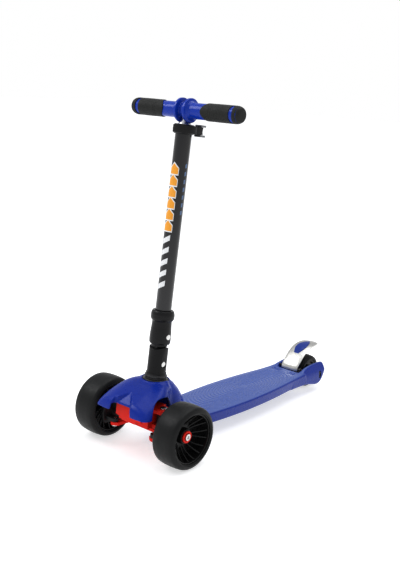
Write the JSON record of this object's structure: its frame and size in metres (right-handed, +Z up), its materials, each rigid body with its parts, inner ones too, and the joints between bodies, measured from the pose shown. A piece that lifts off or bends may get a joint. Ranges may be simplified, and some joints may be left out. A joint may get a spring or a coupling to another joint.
{
  "type": "kick scooter",
  "caption": "Lean-steered child's kick scooter with two wide front wheels, a folding stem, a sliding T-bar in a lever clamp, a moulded deck and a foot brake over the rear wheel.",
  "frame": {"origin": "on the ground, below the middle of the scooter's width and length", "axes": "+X to the rider's left, +Y to the rear, +Z up"},
  "size_m": [0.2596, 0.6442, 0.6507],
  "materials": {
    "blue_plastic": "satin moulded plastic",
    "black_metal": "gloss black coat",
    "black_plastic": "satin moulded plastic",
    "bright_steel": "bright plated steel",
    "red_plastic": "satin moulded plastic",
    "tyre_rubber": "smooth satin rubber",
    "grip_rubber": "matt soft rubber",
    "grey_metal": "cast grey",
    "bright_fender": "bright brushed"
  },
  "bodies": {
    "deck": {"deck_board": "blue_plastic", "front_cover": "blue_plastic", "truck_bracket": "black_metal", "bracket_bolts": "bright_steel", "lean_pin": "bright_steel", "lean_buffers": "grip_rubber", "stem_base": "black_plastic", "base_bolts": "bright_steel", "lower_post": "black_plastic", "pivot_bolt": "bright_steel", "pivot_nut": "bright_steel", "rear_axle": "bright_steel", "rear_axle_nuts": "bright_steel", "rear_spacers": "bright_steel", "brake_pin": "bright_steel", "brake_spring": "bright_steel"},
    "truck": {"axle_beam": "red_plastic", "kingpins": "bright_steel", "kingpin_nuts": "bright_steel"},
    "tie_rod": {"tie_rod": "red_plastic"},
    "left_knuckle": {"knuckle_left": "black_plastic", "axle_bolt_left": "bright_steel", "tie_pin_left": "bright_steel"},
    "right_knuckle": {"knuckle_right": "black_plastic", "axle_bolt_right": "bright_steel", "tie_pin_right": "bright_steel"},
    "left_wheel": {"tyre_left": "tyre_rubber", "rim_left": "black_plastic", "bearings_left": "bright_steel", "hub_ring_left": "red_plastic"},
    "right_wheel": {"tyre_right": "tyre_rubber", "rim_right": "black_plastic", "bearings_right": "bright_steel", "hub_ring_right": "red_plastic"},
    "stem": {"fold_tongue": "black_plastic", "stem_tube": "black_metal", "tube_bush": "black_plastic", "lock_ring": "bright_steel", "lock_spring": "bright_steel", "clamp_collar": "black_metal", "clamp_bolt": "bright_steel", "clamp_nut": "bright_steel", "cam_block": "grey_metal", "lever_pin": "bright_steel"},
    "lock": {"lock_sleeve": "black_plastic", "lock_pin": "bright_steel"},
    "lever": {"clamp_lever": "black_metal"},
    "t_bar": {"inner_post": "bright_steel", "bar_core": "bright_steel", "bar_hub": "blue_plastic", "grip_left": "grip_rubber", "grip_right": "grip_rubber"},
    "brake": {"brake_fender": "bright_fender", "fender_inlay": "blue_plastic"},
    "rear_wheel": {"rear_tyre": "tyre_rubber", "rear_rim": "black_plastic", "rear_bearings": "bright_steel"}
  },
  "joints": [
    {"name": "lean", "type": "hinge", "parent": "deck", "child": "truck", "pos_m": [0, -0.25765, 0.078], "axis": [0, 1, 0], "range_deg": [-8, 8], "stiffness_Nm_per_rad": 70, "deforming": ["lean_buffers"]},
    {"name": "tie_rod_shift", "type": "slide", "parent": "truck", "child": "tie_rod", "axis": [1, 0, 0], "range_m": [-0.0034, 0.0034]},
    {"name": "steer_left", "type": "hinge", "parent": "truck", "child": "left_knuckle", "pos_m": [0.052, -0.25765, 0.06], "axis": [0, 0, 1], "range_deg": [-8.8, 8.8]},
    {"name": "steer_right", "type": "hinge", "parent": "truck", "child": "right_knuckle", "pos_m": [-0.052, -0.25765, 0.06], "axis": [0, 0, 1], "range_deg": [-8.8, 8.8]},
    {"name": "left_wheel_spin", "type": "hinge", "parent": "left_knuckle", "child": "left_wheel", "pos_m": [0.103, -0.25765, 0.06], "axis": [1, 0, 0], "continuous": true},
    {"name": "right_wheel_spin", "type": "hinge", "parent": "right_knuckle", "child": "right_wheel", "pos_m": [-0.103, -0.25765, 0.06], "axis": [1, 0, 0], "continuous": true},
    {"name": "fold", "type": "hinge", "parent": "deck", "child": "stem", "pos_m": [0, -0.22445, 0.1656], "axis": [-1, 0, 0], "range_deg": [0, 88]},
    {"name": "lock_pull", "type": "slide", "parent": "stem", "child": "lock", "axis": [0, 0.0958, 0.9954], "range_m": [0, 0.01], "stiffness_N_per_m": 900, "springref_m": -0.004, "deforming": ["lock_spring"]},
    {"name": "lever_open", "type": "hinge", "parent": "stem", "child": "lever", "pos_m": [0.017, -0.15911, 0.59381], "axis": [0, 0.0958, 0.9954], "range_deg": [0, 100]},
    {"name": "bar_height", "type": "slide", "parent": "stem", "child": "t_bar", "axis": [0, 0.0958, 0.9954], "range_m": [0, 0.24]},
    {"name": "brake_press", "type": "hinge", "parent": "deck", "child": "brake", "pos_m": [0, 0.22935, 0.055], "axis": [-1, 0, 0], "range_deg": [0, 22], "stiffness_Nm_per_rad": 0.8, "springref_deg": -20.05},
    {"name": "rear_wheel_spin", "type": "hinge", "parent": "deck", "child": "rear_wheel", "pos_m": [0, 0.28435, 0.0378], "axis": [1, 0, 0], "continuous": true}
  ],
  "couplings": [
    {"joint": "steer_left", "follows": "lean", "ratio": -1.1},
    {"joint": "steer_right", "follows": "lean", "ratio": -1.1},
    {"joint": "tie_rod_shift", "follows": "lean", "m_per_rad": -0.0242}
  ]
}
